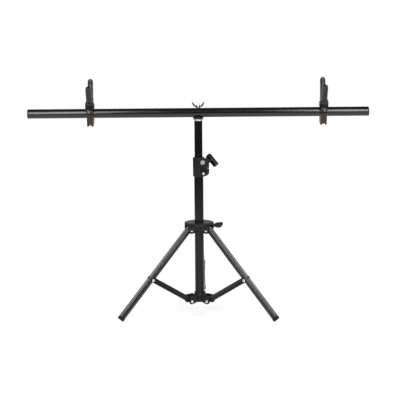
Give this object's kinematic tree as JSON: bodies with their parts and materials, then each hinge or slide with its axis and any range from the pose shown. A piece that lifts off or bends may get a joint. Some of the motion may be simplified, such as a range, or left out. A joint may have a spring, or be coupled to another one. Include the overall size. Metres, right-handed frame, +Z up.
{
  "type": "backdrop stand",
  "caption": "Small T-shaped backdrop stand: folding tripod, telescopic column, swivelling crossbar and spring clamps on the bar.",
  "frame": {"origin": "on the floor, below the middle of the bounding box", "axes": "+X along the crossbar, to the right as seen from the front; +Z up; the front faces -Y"},
  "size_m": [0.8, 0.3355, 0.5571],
  "materials": {
    "black_paint": "gloss black coat",
    "black_plastic": "satin black moulding",
    "black_rubber": "matte",
    "bright_steel": "bright plated steel",
    "orange_pad": "satin orange moulding"
  },
  "bodies": {
    "column": {"lower_tube": "black_paint", "lower_tube_plug": "black_plastic", "lower_hub": "black_plastic", "lower_hub_rivet_left": "bright_steel", "lower_hub_rivet_right": "bright_steel", "lower_hub_rivet_rear": "bright_steel", "lock_collar": "black_plastic", "collar_screw": "bright_steel", "collar_nut": "bright_steel"},
    "canopy_slider": {"canopy": "black_plastic", "canopy_rivet_left": "bright_steel", "canopy_rivet_right": "bright_steel", "canopy_rivet_rear": "bright_steel"},
    "canopy_thumb_knob": {"canopy_knob": "black_plastic", "canopy_knob_screw": "bright_steel"},
    "height_lock": {"lock_knob": "black_plastic", "lock_bolt": "bright_steel"},
    "upper_stage": {"upper_tube": "black_paint", "tube_glide": "black_plastic", "spigot": "bright_steel"},
    "bar": {"saddle": "black_plastic", "crossbar": "black_paint", "bar_cap_left": "black_plastic", "bar_cap_right": "black_plastic"},
    "wing": {"wing_nut": "bright_steel"},
    "leg_left": {"leg_tube_left": "black_paint", "leg_rivet_left": "black_paint", "foot_left": "black_rubber"},
    "leg_right": {"leg_tube_right": "black_paint", "leg_rivet_right": "black_paint", "foot_right": "black_rubber"},
    "leg_rear": {"leg_tube_rear": "black_paint", "leg_rivet_rear": "black_paint", "foot_rear": "black_rubber"},
    "spreader_left": {"strut_left": "black_paint", "strut_rivet_near_left": "bright_steel", "strut_rivet_far_left": "bright_steel"},
    "spreader_right": {"strut_right": "black_paint", "strut_rivet_near_right": "bright_steel", "strut_rivet_far_right": "bright_steel"},
    "spreader_rear": {"strut_rear": "black_paint", "strut_rivet_near_rear": "bright_steel", "strut_rivet_far_rear": "bright_steel"},
    "clamp_left": {"front_jaw_left": "black_plastic", "clamp_pin_left": "bright_steel", "clamp_spring_left": "bright_steel"},
    "clamp_left_rear": {"rear_jaw_left": "black_plastic"},
    "clamp_left_front_pad": {"front_pad_left": "orange_pad"},
    "clamp_left_rear_pad": {"rear_pad_left": "orange_pad"},
    "clamp_right": {"front_jaw_right": "black_plastic", "clamp_pin_right": "bright_steel", "clamp_spring_right": "bright_steel"},
    "clamp_right_rear": {"rear_jaw_right": "black_plastic"},
    "clamp_right_front_pad": {"front_pad_right": "orange_pad"},
    "clamp_right_rear_pad": {"rear_pad_right": "orange_pad"}
  },
  "joints": [
    {"name": "canopy_slide", "type": "slide", "parent": "column", "child": "canopy_slider", "axis": [0, 0, 1], "range_m": [0, 0.0947]},
    {"name": "leg_left_fold", "type": "hinge", "parent": "canopy_slider", "child": "leg_left", "pos_m": [-0.02322, -0.06314, 0.20015], "axis": [0.4695, -0.8829, 0], "range_deg": [0, 39.81]},
    {"name": "leg_right_fold", "type": "hinge", "parent": "canopy_slider", "child": "leg_right", "pos_m": [0.0223, -0.06473, 0.20015], "axis": [0.5299, 0.848, 0], "range_deg": [0, 39.81]},
    {"name": "leg_rear_fold", "type": "hinge", "parent": "canopy_slider", "child": "leg_rear", "pos_m": [0.00092, -0.02451, 0.20015], "axis": [-0.9994, 0.0349, 0], "range_deg": [0, 39.81]},
    {"name": "spreader_left_fold", "type": "hinge", "parent": "column", "child": "spreader_left", "pos_m": [-0.02428, -0.0637, 0.02824], "axis": [0.4695, -0.8829, 0], "range_deg": [-54.78, 0]},
    {"name": "spreader_right_fold", "type": "hinge", "parent": "column", "child": "spreader_right", "pos_m": [0.02332, -0.06537, 0.02824], "axis": [0.5299, 0.848, 0], "range_deg": [-54.78, 0]},
    {"name": "spreader_rear_fold", "type": "hinge", "parent": "column", "child": "spreader_rear", "pos_m": [0.00096, -0.02331, 0.02824], "axis": [-0.9994, 0.0349, 0], "range_deg": [-54.78, 0]},
    {"name": "canopy_knob_turn", "type": "hinge", "parent": "canopy_slider", "child": "canopy_thumb_knob", "pos_m": [0, -0.05079, 0.20475], "axis": [0.8829, 0.4695, 0], "continuous": true},
    {"name": "height_lock_turn", "type": "hinge", "parent": "column", "child": "height_lock", "pos_m": [0.01449, -0.05968, 0.36204], "axis": [0.5225, 0.8526, 0], "continuous": true},
    {"name": "upper_stage_slide", "type": "slide", "parent": "column", "child": "upper_stage", "axis": [0, 0, 1], "range_m": [-0.08, 0.19]},
    {"name": "bar_swivel", "type": "hinge", "parent": "upper_stage", "child": "bar", "pos_m": [0, -0.05079, 0.47794], "axis": [0, 0, 1], "continuous": true},
    {"name": "wing_nut_turn", "type": "hinge", "parent": "upper_stage", "child": "wing", "pos_m": [0, -0.05079, 0.48924], "axis": [0, 0, 1], "continuous": true},
    {"name": "clamp_left_slide", "type": "slide", "parent": "bar", "child": "clamp_left", "axis": [1, 0, 0], "range_m": [-0.132, 0.16]},
    {"name": "clamp_left_open", "type": "hinge", "parent": "clamp_left", "child": "clamp_left_rear", "pos_m": [-0.253, -0.05418, 0.49714], "axis": [1, 0, 0], "range_deg": [0, 30], "stiffness_Nm_per_rad": 0.4, "springref_deg": -42.97, "deforming": ["clamp_spring_left"]},
    {"name": "clamp_left_front_pad_tilt", "type": "hinge", "parent": "clamp_left", "child": "clamp_left_front_pad", "pos_m": [-0.253, -0.05754, 0.45218], "axis": [1, 0, 0], "range_deg": [-1.5, 5]},
    {"name": "clamp_left_rear_pad_tilt", "type": "hinge", "parent": "clamp_left_rear", "child": "clamp_left_rear_pad", "pos_m": [-0.253, -0.03565, 0.45604], "axis": [1, 0, 0], "range_deg": [-5, 1.5]},
    {"name": "clamp_right_slide", "type": "slide", "parent": "bar", "child": "clamp_right", "axis": [1, 0, 0], "range_m": [-0.2, 0.09]},
    {"name": "clamp_right_open", "type": "hinge", "parent": "clamp_right", "child": "clamp_right_rear", "pos_m": [0.2935, -0.05418, 0.49714], "axis": [1, 0, 0], "range_deg": [0, 30], "stiffness_Nm_per_rad": 0.4, "springref_deg": -42.97, "deforming": ["clamp_spring_right"]},
    {"name": "clamp_right_front_pad_tilt", "type": "hinge", "parent": "clamp_right", "child": "clamp_right_front_pad", "pos_m": [0.2935, -0.05754, 0.45218], "axis": [1, 0, 0], "range_deg": [-1.5, 5]},
    {"name": "clamp_right_rear_pad_tilt", "type": "hinge", "parent": "clamp_right_rear", "child": "clamp_right_rear_pad", "pos_m": [0.2935, -0.03565, 0.45604], "axis": [1, 0, 0], "range_deg": [-5, 1.5]}
  ],
  "couplings": [
    {"joint": "leg_left_fold", "follows": "canopy_slide", "rad_per_m": 7.335},
    {"joint": "leg_right_fold", "follows": "canopy_slide", "rad_per_m": 7.335},
    {"joint": "leg_rear_fold", "follows": "canopy_slide", "rad_per_m": 7.335},
    {"joint": "spreader_left_fold", "follows": "canopy_slide", "rad_per_m": -10.093},
    {"joint": "spreader_right_fold", "follows": "canopy_slide", "rad_per_m": -10.093},
    {"joint": "spreader_rear_fold", "follows": "canopy_slide", "rad_per_m": -10.093}
  ]
}
